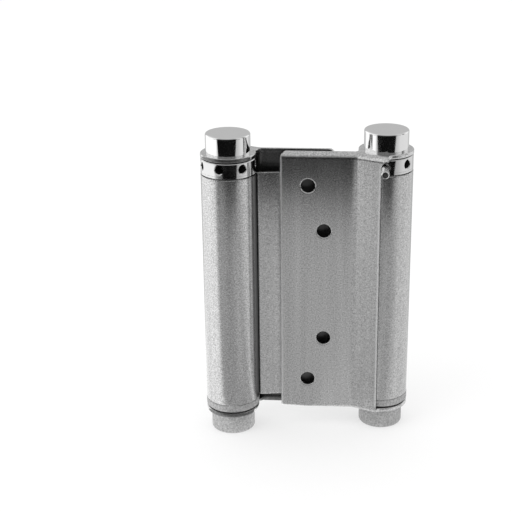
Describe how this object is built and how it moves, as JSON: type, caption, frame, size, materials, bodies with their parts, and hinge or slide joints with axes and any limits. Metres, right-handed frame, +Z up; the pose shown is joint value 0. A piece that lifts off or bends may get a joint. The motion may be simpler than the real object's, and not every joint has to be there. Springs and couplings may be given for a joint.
{
  "type": "double action spring hinge",
  "caption": "Double action cafe door hinge: a centre leaf rolled into spring barrels, with side leaves, holed tension collars, stop pins, caps and feet.",
  "frame": {"origin": "midway between the two spindles, at the level that the feet stand on", "axes": "+Z up along the spindles; +X along the folded screw plates, towards the front leaf's spindle; +Y from the front leaf towards the back leaf"},
  "size_m": [0.0754, 0.0318, 0.1148],
  "materials": {
    "satin_stainless": "satin",
    "polished_stainless": "polished",
    "dull_zinc": "matte",
    "spring_steel": "oiled",
    "black_plastic": "matte"
  },
  "bodies": {
    "centre": {"centre_leaf": "satin_stainless", "right_barrel_plug": "dull_zinc", "left_barrel_plug": "dull_zinc", "right_torsion_spring": "spring_steel", "left_torsion_spring": "spring_steel"},
    "front_side": {"front_leaf": "satin_stainless", "right_spindle": "satin_stainless", "right_top_cap": "polished_stainless", "right_foot": "dull_zinc", "right_thrust_washer": "black_plastic"},
    "right_collar": {"right_tension_collar": "polished_stainless", "right_bearing_washer": "polished_stainless"},
    "right_pin": {"right_stop_pin": "polished_stainless"},
    "back_side": {"back_leaf": "satin_stainless", "left_spindle": "satin_stainless", "left_top_cap": "polished_stainless", "left_foot": "dull_zinc", "left_thrust_washer": "black_plastic"},
    "left_collar": {"left_tension_collar": "polished_stainless", "left_bearing_washer": "polished_stainless"},
    "left_pin": {"left_stop_pin": "polished_stainless"}
  },
  "joints": [
    {"name": "front_leaf_swing", "type": "hinge", "parent": "centre", "child": "front_side", "pos_m": [0.02779, 0.00383, 0], "axis": [0, 0, 1], "range_deg": [0, 180], "stiffness_Nm_per_rad": 0.46, "springref_deg": -20.05, "deforming": ["right_torsion_spring"]},
    {"name": "back_leaf_swing", "type": "hinge", "parent": "centre", "child": "back_side", "pos_m": [-0.02779, -0.00383, 0], "axis": [0, 0, 1], "range_deg": [0, 180], "stiffness_Nm_per_rad": 0.46, "deforming": ["left_torsion_spring"]},
    {"name": "right_collar_wind", "type": "hinge", "parent": "front_side", "child": "right_collar", "pos_m": [0.02779, 0.00383, 0.10365], "axis": [0, 0, 1], "range_deg": [0, 65], "stiffness_Nm_per_rad": 0.02, "springref_deg": -28.65, "deforming": ["right_torsion_spring"]},
    {"name": "left_collar_wind", "type": "hinge", "parent": "back_side", "child": "left_collar", "pos_m": [-0.02779, -0.00383, 0.10365], "axis": [0, 0, 1], "range_deg": [-13, 52], "stiffness_Nm_per_rad": 0.02, "deforming": ["left_torsion_spring"]},
    {"name": "right_pin_pull", "type": "slide", "parent": "right_collar", "child": "right_pin", "axis": [-0.0245, -0.9997, 0], "range_m": [0, 0.0035]},
    {"name": "left_pin_pull", "type": "slide", "parent": "left_collar", "child": "left_pin", "axis": [-0.201, 0.9796, 0], "range_m": [0, 0.0035]}
  ]
}
